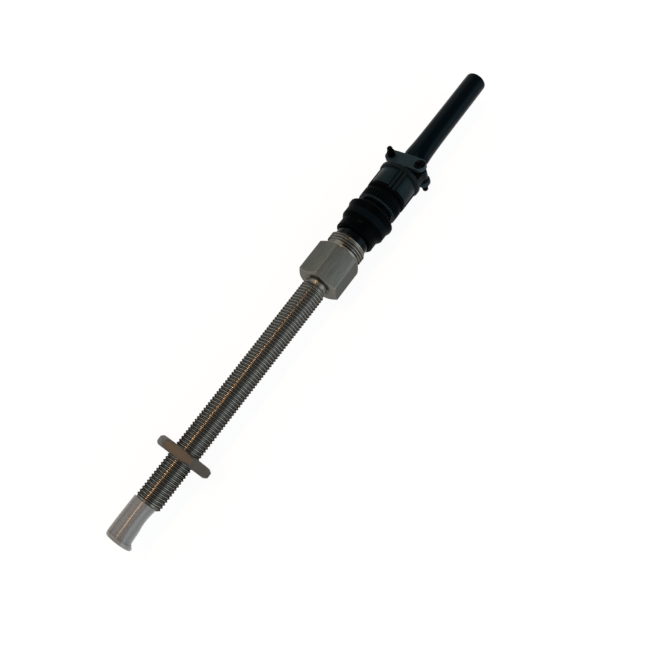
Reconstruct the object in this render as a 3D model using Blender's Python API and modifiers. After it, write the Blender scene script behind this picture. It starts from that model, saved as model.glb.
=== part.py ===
"""Threaded-barrel speed probe with its mated plug: barrel, lock nut, hex housing, bayonet connector, cable
clamp, rubber bushing and tip cap. Stations run along the axis, in mm from the lock nut towards the cable."""

import math

import bmesh
import bpy
from mathutils import Matrix

MM = 0.001
GAP = 0.35

# Overall layout: the probe lies along +X, on the coupling ring's flange and a flat of the lock nut.
MIDDLE_STATION = 98.2
FLANGE_R = 12.1
AXIS_HEIGHT = FLANGE_R

# Barrel, M12 x 1.5, with a plain neck below the hex and a small nose that stands out of its tip.
THREAD_R = 6.0
THREAD_ROOT_R = 5.1
THREAD_PITCH = 1.5
THREAD_ROUND = 12
BARREL_TIP = -22.0
BARREL_CHAMFER = (1.6, 1.4)
THREAD_END = 94.2
NECK_R = 5.65
RELIEF_R = 5.25
SPIGOT_END = 105.0
BARREL_BORE_R = 3.8
NOSE_R = 2.7
NOSE_TIP = -27.0
NOSE_WALL = 0.5
NOSE_FLANGE = (-9.6, -7.6, 3.4)

# Lock nut and hex housing: across flats, end planes, and the turn of each hex about the axis.
NUT_FLATS = 24.0
NUT_ENDS = (-0.6, 3.8)
HEX_FLATS = 20.0
HEX_ENDS = (98.0, 116.6)
HEX_TURN = math.radians(24.1)
COLLAR_R = 9.5
COLLAR_END = 123.3

# Connector: receptacle shell in the collar, plug shell inside it, coupling ring round both.
SHELL_R = 8.35
SHELL_ENDS = (119.6, 136.5)
CAVITY_R = 6.4
CAVITY_FLOOR = 127.0
RING_FRONT = 127.3
RING_BORE_R = 8.75
RING_BACK = 142.0
RING_BAND_R = 9.95
GRIP_ENDS = (134.2, 138.4)
GRIP_R = 11.15
PLUG_FRONT = 128.1
PLUG_BACK = 157.0
PLUG_R = 7.9
PLUG_BORE_R = 5.1
CONTACT_COUNT = 3
CONTACT_CIRCLE_R = 2.6
PIN_R = 0.8
BAYONET_COUNT = 3
BAYONET_TURN = math.radians(110)
BAYONET_TRAVEL = 4.2
BAYONET_STATION = 132.8
BAYONET_PIN_R = 0.9
GROOVE_R = 1.5
GROOVE_CENTRE_R = 8.5
BACK_NUT_ENDS = (145.4, 151.0)
BACK_NUT_R = 10.25
FLUTE_COUNT = 40
FLUTE_DEPTH = 0.55

# Cable clamp: ribbed body, two opposed bars drawn together by two opposed screws.
CLAMP_ENDS = (151.35, 168.0)
CLAMP_R = 10.35
CLAMP_RIM_R = 11.1
CLAMP_NECK_R = 9.4
CLAMP_PANEL_R = 9.8
CLAMP_TURN = math.radians(-19.5)
RIB_TURN = math.radians(11.4)
RIB_COUNT = 4
RIB_RIDGE = (0.6, 1.5)
SCREW_STATION = 173.8
SCREW_OFFSET = 8.15
SCREW_R = 1.4
SCREW_TIP = 11.75
HEAD_R = 2.65
HEAD_HEIGHT = 1.3
BAR_INNER = 4.4
BAR_OUTER = 6.5
BAR_WIDTH = 6.9
EAR_R = 3.3
LUG_R = 2.7
LUG_HALF_HEIGHT = 2.4

# Rubber bushing: station, half-width along the bars, half-height along the screws, and the bore's two halves.
BUSHING_SECTIONS = (
    (160.0, 5.6, 5.6, 3.6, 3.6),
    (167.0, 5.7, 5.3, 3.7, 3.4),
    (169.6, 5.1, 4.05, 3.8, 3.0),
    (177.6, 5.1, 4.05, 3.8, 3.0),
    (180.2, 6.9, 5.2, 3.9, 3.1),
    (186.0, 6.1, 5.5, 3.7, 3.5),
    (196.0, 5.65, 5.6, 3.6, 3.6),
    (237.0, 5.6, 5.6, 3.6, 3.6),
)

# Tip cap: a thin cup whose side has been pressed in towards one side.
CAP_ENDS = (-40.6, -22.35)
CAP_R = 6.3
CAP_WALL = 0.6
CAP_FLOOR = 1.4
DENT_ANGLE = math.radians(104.9)
DENT_DEPTH = 2.5
DENT_STATION = -28.6

# Sides of round pieces, and how far a cutter stands clear of what it cuts.
ROUND = 28
SMALL_ROUND = 20
WIRE_ROUND = 10
CLEAR = 0.3

for old in list(bpy.data.objects):
    bpy.data.objects.remove(old)

parts = bpy.data.collections.new("threaded_speed_probe")
cutters = bpy.data.collections.new("cutters")
for collection in (parts, cutters):
    bpy.context.scene.collection.children.link(collection)

# Local frame of everything turned: z along the probe to the cable, x up, y to the right seen from the tip.
axis = bpy.data.objects.new("probe_axis", None)
axis.matrix_world = Matrix(
    ((0, 0, 1, 0), (0, -1, 0, 0), (1, 0, 0, AXIS_HEIGHT * MM), (0, 0, 0, 1))
)
parts.objects.link(axis)


def material(name, colour, roughness, metallic):
    made = bpy.data.materials.new(name)
    made.use_nodes = True
    shader = made.node_tree.nodes["Principled BSDF"]
    shader.inputs["Base Color"].default_value = (*colour, 1.0)
    shader.inputs["Roughness"].default_value = roughness
    shader.inputs["Metallic"].default_value = metallic
    return made


STEEL = ((0.42, 0.41, 0.38), 0.32, 1.0)
BLACK_SHELL = ((0.02, 0.022, 0.026), 0.35, 0.0)
CLAMP_GREY = ((0.20, 0.22, 0.25), 0.45, 0.0)
RUBBER = ((0.03, 0.03, 0.033), 0.6, 0.0)
MOULDING = ((0.06, 0.07, 0.06), 0.5, 0.0)
GOLD = ((0.75, 0.55, 0.22), 0.3, 1.0)
CAP_PLASTIC = ((0.45, 0.44, 0.42), 0.5, 0.0)


def place(obj, look, turn=0.0, parent=axis):
    """Puts a piece on the probe axis, with its own material and smooth round faces."""
    obj.parent = parent
    obj.rotation_euler = (0, 0, turn)
    obj.data.materials.append(material(obj.name, *look))
    if obj.type == "MESH":
        obj.data.shade_smooth()
        obj.data.set_sharp_from_angle(angle=math.radians(30))
    parts.objects.link(obj)
    return obj


def as_cutter(obj, parent=axis):
    obj.parent = parent
    obj.hide_render = True
    obj.display_type = "WIRE"
    cutters.objects.link(obj)
    return obj


def turned(name, profile, segments=ROUND, closed=True):
    """A turned solid. The profile holds (station, radius), down the outer side and, if closed, up the bore."""
    mesh = bpy.data.meshes.new(name)
    points = [(radius * MM, 0, (station - MIDDLE_STATION) * MM) for station, radius in profile]
    edges = [(i, i + 1) for i in range(len(points) - 1)]
    if closed:
        edges.append((len(points) - 1, 0))
    mesh.from_pydata(points, edges, [])
    obj = bpy.data.objects.new(name, mesh)
    screw = obj.modifiers.new("turn", "SCREW")
    screw.axis = "Z"
    screw.steps = segments
    screw.render_steps = segments
    screw.use_merge_vertices = True
    screw.merge_threshold = 0.00001
    return obj


def tube(name, low, high, outer, inner, segments=ROUND):
    return turned(name, [(high, outer), (low, outer), (low, inner), (high, inner)], segments)


def rod(name, low, high, radius, segments=SMALL_ROUND):
    return turned(name, [(high, 0), (high, radius), (low, radius), (low, 0)], segments, closed=False)


def boolean(obj, other, operation="DIFFERENCE"):
    cut = obj.modifiers.new(operation.lower(), "BOOLEAN")
    cut.operation = operation
    cut.object = other


def evaluated_mesh(obj):
    """The object as its modifiers or its curve settings make it, as one welded mesh."""
    loose = not obj.users_collection
    if loose:
        cutters.objects.link(obj)
    bpy.context.view_layer.update()
    mesh = bpy.data.meshes.new_from_object(obj.evaluated_get(bpy.context.evaluated_depsgraph_get()))
    edit = bmesh.new()
    edit.from_mesh(mesh)
    bmesh.ops.remove_doubles(edit, verts=edit.verts, dist=0.000002)
    bmesh.ops.recalc_face_normals(edit, faces=edit.faces)
    edit.to_mesh(mesh)
    edit.free()
    if loose:
        cutters.objects.unlink(obj)
    return mesh


def baked(obj):
    """The object with its modifiers made part of its mesh."""
    mesh = evaluated_mesh(obj)
    obj.modifiers.clear()
    obj.data = mesh
    return obj


def prism(name, sides, flats, low, high):
    """A regular prism along the axis, with the middle of one flat facing up."""
    mesh = bpy.data.meshes.new(name)
    edit = bmesh.new()
    corner = flats / 2 / math.cos(math.pi / sides) * MM
    bmesh.ops.create_cone(
        edit, cap_ends=True, segments=sides, radius1=corner, radius2=corner, depth=(high - low) * MM
    )
    first = max(edit.verts, key=lambda vert: vert.co.x).co
    bmesh.ops.rotate(
        edit, verts=edit.verts, matrix=Matrix.Rotation(math.pi / sides - math.atan2(first.y, first.x), 3, "Z")
    )
    bmesh.ops.translate(edit, verts=edit.verts, vec=(0, 0, ((low + high) / 2 - MIDDLE_STATION) * MM))
    edit.to_mesh(mesh)
    edit.free()
    return bpy.data.objects.new(name, mesh)


def skinned(name, rings, loop):
    """A skin over rings of equal count: a closed tube if loop, else capped at its first and last ring."""
    mesh = bpy.data.meshes.new(name)
    edit = bmesh.new()
    rows = [[edit.verts.new([value * MM for value in point]) for point in ring] for ring in rings]
    pairs = list(zip(rows, rows[1:]))
    if loop:
        pairs.append((rows[-1], rows[0]))
    else:
        edit.faces.new(rows[0])
        edit.faces.new(rows[-1])
    for row, following in pairs:
        for i in range(len(row)):
            j = (i + 1) % len(row)
            edit.faces.new((row[i], row[j], following[j], following[i]))
    bmesh.ops.recalc_face_normals(edit, faces=edit.faces)
    edit.to_mesh(mesh)
    edit.free()
    return bpy.data.objects.new(name, mesh)


def block(name, x, y, z):
    """A box between pairs of values, in mm, with z as stations."""
    mesh = bpy.data.meshes.new(name)
    edit = bmesh.new()
    bmesh.ops.create_cube(edit, size=1)
    bmesh.ops.scale(edit, verts=edit.verts, vec=[(high - low) * MM for low, high in (x, y, z)])
    centre = [(low + high) / 2 for low, high in (x, y, z)]
    centre[2] -= MIDDLE_STATION
    bmesh.ops.translate(edit, verts=edit.verts, vec=[value * MM for value in centre])
    edit.to_mesh(mesh)
    edit.free()
    return bpy.data.objects.new(name, mesh)


def cross_rod(name, radius, low, high, across, segments=SMALL_ROUND):
    """A cylinder along local x, from low to high, at the clamp screws' station and offset across."""
    mesh = bpy.data.meshes.new(name)
    edit = bmesh.new()
    bmesh.ops.create_cone(
        edit,
        cap_ends=True,
        segments=segments,
        radius1=radius * MM,
        radius2=radius * MM,
        depth=(high - low) * MM,
    )
    bmesh.ops.rotate(edit, verts=edit.verts, matrix=Matrix.Rotation(math.pi / 2, 3, "Y"))
    place_at = ((low + high) / 2, across, SCREW_STATION - MIDDLE_STATION)
    bmesh.ops.translate(edit, verts=edit.verts, vec=[value * MM for value in place_at])
    edit.to_mesh(mesh)
    edit.free()
    return bpy.data.objects.new(name, mesh)


def joined(name, pieces):
    """Separate solids as one object."""
    mesh = bpy.data.meshes.new(name)
    edit = bmesh.new()
    for piece in pieces:
        edit.from_mesh(baked(piece).data)
        bpy.data.objects.remove(piece)
    edit.to_mesh(mesh)
    edit.free()
    return bpy.data.objects.new(name, mesh)


def moved(obj, matrix):
    obj.data.transform(matrix)
    return obj


def around_contacts(make):
    """One copy of a piece at each contact place."""
    copies = []
    for index in range(1, CONTACT_COUNT + 1):
        angle = math.tau * index / CONTACT_COUNT
        shift = Matrix.Translation(
            (CONTACT_CIRCLE_R * math.cos(angle) * MM, CONTACT_CIRCLE_R * math.sin(angle) * MM, 0)
        )
        copies.append(moved(baked(make(index)), shift))
    return copies


def chamfered_hex(name, flats, ends, end_circle_r):
    """A hex whose corners are turned off at 30 degrees at both ends."""
    low, high = ends
    hexagon = prism(name, 6, flats, low, high)
    corner = flats / 2 / math.cos(math.pi / 6)
    drop = (corner + CLEAR - end_circle_r) * math.tan(math.radians(30))
    sliver = 0.01
    limits = [
        (high + sliver, 0),
        (high + sliver, end_circle_r),
        (high - drop, corner + CLEAR),
        (low + drop, corner + CLEAR),
        (low - sliver, end_circle_r),
        (low - sliver, 0),
    ]
    boolean(hexagon, as_cutter(turned(name + "_limits", limits, closed=False)), "INTERSECT")
    return hexagon


def thread_worm(name, low, high):
    """A solid with a V thread of one start round the probe axis, closed at both ends."""
    mesh = bpy.data.meshes.new(name)
    ridge = ((THREAD_ROOT_R, 0), (THREAD_R, THREAD_PITCH / 2), (THREAD_ROOT_R, THREAD_PITCH))
    points = [(radius * MM, 0, (low + rise - MIDDLE_STATION) * MM) for radius, rise in ridge]
    mesh.from_pydata(points, [(0, 1), (1, 2)], [])
    worm = bpy.data.objects.new(name, mesh)
    helix = worm.modifiers.new("helix", "SCREW")
    helix.axis = "Z"
    helix.steps = THREAD_ROUND
    helix.render_steps = THREAD_ROUND
    helix.screw_offset = THREAD_PITCH * MM
    helix.iterations = math.ceil((high - low) / THREAD_PITCH)
    edit = bmesh.new()
    edit.from_mesh(baked(worm).data)
    ends = bmesh.ops.holes_fill(edit, edges=[edge for edge in edit.edges if edge.is_boundary])
    bmesh.ops.triangulate(edit, faces=ends["faces"])
    bmesh.ops.recalc_face_normals(edit, faces=edit.faces)
    edit.to_mesh(worm.data)
    edit.free()
    return worm


def make_barrel():
    """The rolled thread is trimmed by a turned form: tip chamfer, run-out, relief groove, neck and bore."""
    chamfer_length, chamfer_depth = BARREL_CHAMFER
    form_r = THREAD_R + CLEAR
    chamfer_reach = (form_r - THREAD_R + chamfer_depth) * chamfer_length / chamfer_depth
    nose_seat = NOSE_FLANGE[0] - GAP
    profile = [
        (SPIGOT_END, NECK_R),
        (THREAD_END + 1.0, NECK_R),
        (THREAD_END + 0.8, RELIEF_R),
        (THREAD_END + 0.4, RELIEF_R),
        (THREAD_END - 1.0, form_r),
        (BARREL_TIP + chamfer_reach, form_r),
        (BARREL_TIP, THREAD_R - chamfer_depth),
        (BARREL_TIP, NOSE_R + GAP),
        (nose_seat, NOSE_R + GAP),
        (nose_seat, BARREL_BORE_R),
        (SPIGOT_END, BARREL_BORE_R),
    ]
    barrel = turned("threaded_barrel", profile)
    worm = as_cutter(thread_worm("thread_worm", BARREL_TIP - 2 * THREAD_PITCH, THREAD_END))
    neck = as_cutter(rod("neck_stock", THREAD_END - CLEAR, SPIGOT_END + 1, form_r + 1))
    boolean(worm, neck, "UNION")
    boolean(barrel, worm, "INTERSECT")
    place(barrel, STEEL)


def make_sensing_parts():
    """What stands in the barrel's tip: the thin-walled nose, Hall element, bias magnet, board and leads."""
    seat, back, flange_r = NOSE_FLANGE
    edge = 0.3
    nose = [
        (NOSE_TIP + NOSE_WALL, 0),
        (NOSE_TIP + NOSE_WALL, NOSE_R - NOSE_WALL),
        (back, NOSE_R - NOSE_WALL),
        (back, flange_r),
        (seat, flange_r),
        (seat, NOSE_R),
        (NOSE_TIP + edge, NOSE_R),
        (NOSE_TIP, NOSE_R - edge),
        (NOSE_TIP, 0),
    ]
    place(turned("sensing_nose", nose, SMALL_ROUND, closed=False), STEEL)
    place(block("hall_element", (-1.5, 1.5), (-1.5, 1.5), (-26.0, -24.8)), MOULDING)
    place(rod("bias_magnet", -24.2, -17.0, 1.8), STEEL)
    place(block("sensor_board", (-0.5, 0.5), (-3.0, 3.0), (-6.5, 34.0)), MOULDING)
    for wire in around_contacts(lambda index: rod(f"lead_wire_{index}", 34.6, 117.0, 0.5, WIRE_ROUND)):
        place(wire, RUBBER)


def make_housing():
    body = chamfered_hex("hex_housing", HEX_FLATS, HEX_ENDS, 9.7)
    collar = [
        (COLLAR_END, 0),
        (COLLAR_END, COLLAR_R - 0.5),
        (COLLAR_END - 0.5, COLLAR_R),
        (HEX_ENDS[1] + 1.7, COLLAR_R),
        (HEX_ENDS[1] + 1.3, COLLAR_R - 0.4),
        (HEX_ENDS[1] - 3.0, COLLAR_R - 0.4),
        (HEX_ENDS[1] - 3.0, 0),
    ]
    boolean(body, as_cutter(turned("collar_form", collar, closed=False)), "UNION")
    bore = [
        (COLLAR_END + 1, 0),
        (COLLAR_END + 1, SHELL_R + GAP),
        (118.0, SHELL_R + GAP),
        (118.0, 5.2),
        (SPIGOT_END + GAP, 5.2),
        (SPIGOT_END + GAP, NECK_R + 0.45),
        (HEX_ENDS[0] - 1, NECK_R + 0.45),
        (HEX_ENDS[0] - 1, 0),
    ]
    boolean(body, as_cutter(turned("housing_bore", bore, closed=False)))
    place(body, STEEL, HEX_TURN)


def make_lock_nut():
    nut = chamfered_hex("lock_nut", NUT_FLATS, NUT_ENDS, 12.6)
    low, high = NUT_ENDS
    lead = 0.7
    bore = [
        (high + 1, 0),
        (high + 1, THREAD_R + GAP + lead + 1),
        (high - lead, THREAD_R + GAP),
        (low + lead, THREAD_R + GAP),
        (low - 1, THREAD_R + GAP + lead + 1),
        (low - 1, 0),
    ]
    boolean(nut, as_cutter(turned("nut_bore", bore, closed=False)))
    place(nut, STEEL)


def dent(station, angle):
    """How far the cap's side stands in at a place: deepest in the middle, none at the closed end."""
    floor = CAP_ENDS[0] + CAP_FLOOR
    if station < DENT_STATION:
        along = math.sin(math.pi / 2 * max(0.0, (station - floor) / (DENT_STATION - floor))) ** 1.3
    else:
        along = 1 - 0.28 * ((station - DENT_STATION) / (CAP_ENDS[1] - DENT_STATION)) ** 1.5
    aside = max(0.0, math.cos(angle - DENT_ANGLE))
    return DENT_DEPTH * along * aside**1.5


def make_cap():
    low, high = CAP_ENDS

    def ring(station, radius):
        points = []
        for index in range(SMALL_ROUND):
            angle = math.tau * index / SMALL_ROUND
            reach = radius - dent(station, angle)
            points.append((reach * math.cos(angle), reach * math.sin(angle), station - MIDDLE_STATION))
        return points

    steps = 6
    edge = 0.5
    floor = low + CAP_FLOOR
    inner = [ring(floor + (high - floor) * i / steps, CAP_R - CAP_WALL) for i in range(steps + 1)]
    outer = [ring(high - (high - floor) * i / steps, CAP_R) for i in range(steps + 1)]
    end = [ring(low + edge, CAP_R), ring(low, CAP_R - edge)]
    place(skinned("protective_cap", inner + outer + end, loop=False), CAP_PLASTIC)


def bayonet_groove(index):
    """The milled path of one bayonet pin, climbing to the shell's mouth as the ring is turned."""
    curve = bpy.data.curves.new("groove_path", "CURVE")
    curve.dimensions = "3D"
    curve.bevel_depth = GROOVE_R * MM
    curve.bevel_resolution = 1
    curve.use_fill_caps = True
    spline = curve.splines.new("POLY")
    steps = 11
    before, beyond = 0.08, 0.25
    spline.points.add(steps)
    for step in range(steps + 1):
        part = -before + (1 + before + beyond) * step / steps
        angle = math.tau * index / BAYONET_COUNT + part * BAYONET_TURN
        station = BAYONET_STATION + part * BAYONET_TRAVEL
        spline.points[step].co = (
            GROOVE_CENTRE_R * math.cos(angle) * MM,
            GROOVE_CENTRE_R * math.sin(angle) * MM,
            (station - MIDDLE_STATION) * MM,
            1,
        )
    path = bpy.data.objects.new("groove_path", curve)
    mesh = evaluated_mesh(path)
    bpy.data.objects.remove(path)
    return as_cutter(bpy.data.objects.new(f"bayonet_groove_{index}", mesh))


def make_receptacle():
    low, high = SHELL_ENDS
    shell = turned(
        "receptacle_shell",
        [
            (high, SHELL_R - 0.3),
            (high - 0.3, SHELL_R),
            (low, SHELL_R),
            (low, 5.4),
            (120.4, 5.4),
            (120.4, 6.1),
            (CAVITY_FLOOR, 6.1),
            (CAVITY_FLOOR, CAVITY_R),
            (high, CAVITY_R),
        ],
    )
    for index in range(1, BAYONET_COUNT + 1):
        boolean(shell, bayonet_groove(index))
    place(shell, BLACK_SHELL)
    place(tube("receptacle_gasket", 118.3, low - GAP + 0.05, SHELL_R - 0.1, 6.5), RUBBER)
    insert = rod("receptacle_insert", 120.75, CAVITY_FLOOR - GAP, 5.75)
    for hole in around_contacts(
        lambda index: rod(f"pin_hole_{index}", 119.0, 129.0, PIN_R + CLEAR, WIRE_ROUND)
    ):
        boolean(insert, as_cutter(hole))
    place(insert, MOULDING)
    for pin in around_contacts(lambda index: rod(f"contact_pin_{index}", 117.4, 134.6, PIN_R, WIRE_ROUND)):
        place(pin, GOLD)


def make_coupling_ring():
    profile = [
        (RING_BACK, FLANGE_R - 0.25),
        (RING_BACK - 0.2, FLANGE_R),
        (RING_BACK - 1.3, FLANGE_R),
        (RING_BACK - 2.4, FLANGE_R - 0.45),
        (GRIP_ENDS[1], GRIP_R),
        (GRIP_ENDS[0], GRIP_R),
        (GRIP_ENDS[0] - 0.8, GRIP_R - 0.55),
        (GRIP_ENDS[0] - 1.8, RING_BAND_R),
        (RING_FRONT + 1.3, RING_BAND_R),
        (RING_FRONT + 0.6, 10.05),
        (RING_FRONT, 9.6),
        (RING_FRONT, RING_BORE_R),
        (RING_BACK - 1.7, RING_BORE_R),
        (RING_BACK - 1.7, PLUG_R + 0.4),
        (RING_BACK, PLUG_R + 0.4),
    ]
    ring = turned("coupling_ring", profile)
    for index in range(1, BAYONET_COUNT + 1):
        turn = Matrix.Rotation(math.tau * index / BAYONET_COUNT, 4, "Z")
        lift = Matrix.Translation((0, 0, (BAYONET_STATION - SCREW_STATION) * MM))
        hole = cross_rod(f"bayonet_hole_{index}", BAYONET_PIN_R + 0.3, 7.0, 9.6, 0, 16)
        boolean(ring, as_cutter(moved(hole, turn @ lift)))
        pin = cross_rod(f"bayonet_pin_{index}", BAYONET_PIN_R, 7.75, 9.3, 0, 12)
        place(moved(pin, turn @ lift), STEEL)
    place(ring, BLACK_SHELL)


def make_plug():
    shell = [
        (PLUG_BACK, PLUG_R),
        (RING_BACK + 1.5, PLUG_R),
        (RING_BACK + 1.5, PLUG_R - 0.5),
        (RING_BACK, PLUG_R - 0.5),
        (RING_BACK, PLUG_R),
        (138.7, PLUG_R),
        (138.7, 8.45),
        (136.9, 8.45),
        (136.9, CAVITY_R - GAP),
        (PLUG_FRONT + 0.3, CAVITY_R - GAP),
        (PLUG_FRONT, CAVITY_R - GAP - 0.3),
        (PLUG_FRONT, PLUG_BORE_R),
        (146.2, PLUG_BORE_R),
        (146.2, 5.7),
        (PLUG_BACK, 5.7),
    ]
    place(turned("plug_shell", shell, SMALL_ROUND), BLACK_SHELL)
    place(tube("interface_seal", PLUG_FRONT - 1.05, PLUG_FRONT - GAP, 5.9, PLUG_BORE_R, SMALL_ROUND), RUBBER)
    insert = rod("plug_insert", PLUG_FRONT + 0.3, 145.8, PLUG_BORE_R - GAP)
    for hole in around_contacts(lambda index: rod(f"socket_hole_{index}", 127.0, 147.0, 1.75, WIRE_ROUND)):
        boolean(insert, as_cutter(hole))
    place(insert, MOULDING)
    sockets = around_contacts(
        lambda index: turned(
            f"socket_contact_{index}",
            [(147.5, 0), (147.5, 0.9), (145.0, 1.4), (128.8, 1.4), (128.8, 1.1), (137.5, 1.1), (137.5, 0)],
            WIRE_ROUND,
            closed=False,
        )
    )
    for socket in sockets:
        place(socket, GOLD)
    grommet = rod("wire_grommet", 148.2, 152.0, 5.35)
    for hole in around_contacts(lambda index: rod(f"grommet_hole_{index}", 147.0, 153.0, 0.9, WIRE_ROUND)):
        boolean(grommet, as_cutter(hole))
    place(grommet, RUBBER)
    make_wave_spring()
    place(tube("retaining_ring", RING_BACK + GAP, RING_BACK + GAP + 0.8, PLUG_R + 1, PLUG_R - 0.15), STEEL)


def make_wave_spring():
    """A thin waved ring that keeps the coupling ring pressed back against its retaining ring."""
    waves = 4
    height = 0.3

    def ring(radius, station):
        points = []
        for index in range(ROUND):
            angle = math.tau * index / ROUND
            lift = height * math.sin(waves * angle)
            along = station + lift - MIDDLE_STATION
            points.append((radius * math.cos(angle), radius * math.sin(angle), along))
        return points

    rings = [ring(8.6, 139.35), ring(8.6, 139.65), ring(8.25, 139.65), ring(8.25, 139.35)]
    place(skinned("wave_spring", rings, loop=True), STEEL)


def make_back_nut():
    """The fluted ring behind the coupling ring: plain rims at both ends, square flutes between."""
    low, high = BACK_NUT_ENDS
    rim = 0.8
    profile = [
        (high, BACK_NUT_R - 0.2),
        (high - 0.2, BACK_NUT_R),
        (low + 0.2, BACK_NUT_R),
        (low, BACK_NUT_R - 0.2),
        (low, 8.25),
        (high, 8.25),
    ]
    nut = turned("back_nut", profile, FLUTE_COUNT)
    slots = []
    width = math.tau * BACK_NUT_R / FLUTE_COUNT * 0.45
    for index in range(FLUTE_COUNT):
        slot = block(
            f"flute_{index}",
            (BACK_NUT_R - FLUTE_DEPTH, BACK_NUT_R + 1),
            (-width / 2, width / 2),
            (low + rim, high - rim - 0.6),
        )
        slots.append(moved(slot, Matrix.Rotation(math.tau * (index + 0.5) / FLUTE_COUNT, 4, "Z")))
    boolean(nut, as_cutter(joined("flutes", slots)))
    place(nut, BLACK_SHELL)


def make_clamp_body():
    low, high = CLAMP_ENDS
    profile = [
        (high, 10.4),
        (high - 0.6, CLAMP_RIM_R),
        (high - 2.2, CLAMP_RIM_R),
        (high - 2.8, CLAMP_PANEL_R),
        (low + 3.85, CLAMP_PANEL_R),
        (low + 3.65, CLAMP_R),
        (low + 2.35, CLAMP_R),
        (low + 2.05, CLAMP_NECK_R),
        (low, CLAMP_NECK_R),
        (low, 8.3),
        (158.0, 8.3),
        (159.2, 6.2),
        (high, 6.2),
    ]
    body = baked(turned("clamp_body", profile))
    near, far = RIB_RIDGE
    for index in range(RIB_COUNT):
        angle = RIB_TURN - CLAMP_TURN + math.tau * index / RIB_COUNT
        for side, across in (("left", (-far, -near)), ("right", (near, far))):
            ridge = block(f"rib_{index}_{side}", (CLAMP_NECK_R, CLAMP_R), across, (low + 3.05, high - 1.5))
            boolean(body, as_cutter(moved(ridge, Matrix.Rotation(angle, 4, "Z"))), "UNION")
    for side in (-1, 1):
        across = side * SCREW_OFFSET
        web = block(
            f"lug_web_{side}", (-2.0, 2.0), (across - 2.0, across + 2.0), (high - 1.4, SCREW_STATION)
        )
        boolean(body, as_cutter(web), "UNION")
        boss = cross_rod(f"lug_boss_{side}", LUG_R, -LUG_HALF_HEIGHT, LUG_HALF_HEIGHT, across)
        boolean(body, as_cutter(boss), "UNION")
        hole = cross_rod(f"lug_hole_{side}", SCREW_R + GAP, -8, 8, across, 16)
        boolean(body, as_cutter(hole))
    place(body, CLAMP_GREY, CLAMP_TURN)
    for cutter in cutters.objects:
        if cutter.name.startswith(("rib_", "lug_")):
            cutter.rotation_euler = (0, 0, CLAMP_TURN)


def make_bushing():
    """A rubber tube, squeezed oval between the bars and swelling out just behind them."""

    def ring(station, half_width, half_height):
        points = []
        for index in range(SMALL_ROUND):
            angle = math.tau * index / SMALL_ROUND
            along = station - MIDDLE_STATION
            points.append((half_height * math.cos(angle), half_width * math.sin(angle), along))
        return points

    outer = [ring(station, wide, tall) for station, wide, tall, _, _ in BUSHING_SECTIONS]
    inner = [ring(station, wide, tall) for station, _, _, wide, tall in reversed(BUSHING_SECTIONS)]
    place(skinned("rubber_bushing", outer + inner, loop=True), RUBBER, CLAMP_TURN)


def bar_outline(curve):
    """Outline of a bar in its own plane: a straight middle and round ears, as one closed spline."""
    middle = SCREW_OFFSET - 2.4
    half = BAR_WIDTH / 2
    points = []
    for side in (1, -1):
        points.append((side * middle, -side * half))
        for step in range(9):
            angle = math.radians(-80 + 160 * step / 8)
            points.append(
                (side * (SCREW_OFFSET + EAR_R * math.cos(angle)), side * EAR_R * math.sin(angle))
            )
        points.append((side * middle, side * half))
    spline = curve.splines.new("POLY")
    spline.points.add(len(points) - 1)
    for point, (along, axial) in zip(spline.points, points):
        point.co = (along * MM, axial * MM, 0, 1)
    spline.use_cyclic_u = True


def make_bars_and_screws():
    for name, facing in (("front", 0.0), ("rear", math.pi)):
        frame = bpy.data.objects.new(f"{name}_clamp_frame", None)
        frame.parent = axis
        frame.rotation_euler = (0, 0, CLAMP_TURN + facing)
        parts.objects.link(frame)
        curve = bpy.data.curves.new(f"{name}_outline", "CURVE")
        curve.dimensions = "2D"
        curve.fill_mode = "BOTH"
        curve.extrude = (BAR_OUTER - BAR_INNER) / 2 * MM
        bar_outline(curve)
        outline = bpy.data.objects.new(f"{name}_clamp_bar", curve)
        mesh = evaluated_mesh(outline)
        bpy.data.objects.remove(outline)
        bar = bpy.data.objects.new(f"{name}_clamp_bar", mesh)
        stand = Matrix(((0, 0, 1, 0), (1, 0, 0, 0), (0, 1, 0, 0), (0, 0, 0, 1)))
        lift = Matrix.Translation(
            ((BAR_INNER + BAR_OUTER) / 2 * MM, 0, (SCREW_STATION - MIDDLE_STATION) * MM)
        )
        moved(bar, lift @ stand)
        head_seat = cross_rod(
            f"{name}_head_seat", HEAD_R + 0.3, BAR_OUTER - HEAD_HEIGHT - 0.3, BAR_OUTER + 1, SCREW_OFFSET
        )
        clear = cross_rod(f"{name}_screw_hole", SCREW_R + 0.3, 0, 9, SCREW_OFFSET, 16)
        threaded = cross_rod(f"{name}_thread_hole", SCREW_R + 0.3, 0, 9, -SCREW_OFFSET, 16)
        for cutter in (head_seat, clear, threaded):
            boolean(bar, as_cutter(cutter, frame))
        place(bar, CLAMP_GREY, parent=frame)
        screw = cross_rod(f"{name}_clamp_screw", SCREW_R, -SCREW_TIP, BAR_OUTER - 1.0, SCREW_OFFSET, 16)
        head = cross_rod(f"{name}_head", HEAD_R, BAR_OUTER - HEAD_HEIGHT, BAR_OUTER, SCREW_OFFSET)
        boolean(screw, as_cutter(head, frame), "UNION")
        pivot = Matrix.Translation((0, SCREW_OFFSET * MM, (SCREW_STATION - MIDDLE_STATION) * MM))
        moved(screw, pivot.inverted())
        place(screw, STEEL, parent=frame)
        screw.location = pivot.translation


make_barrel()
make_sensing_parts()
make_housing()
make_lock_nut()
make_cap()
make_receptacle()
make_coupling_ring()
make_plug()
make_back_nut()
make_clamp_body()
make_bushing()
make_bars_and_screws()
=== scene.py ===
import math

import bpy
from mathutils import Matrix, Vector


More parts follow.
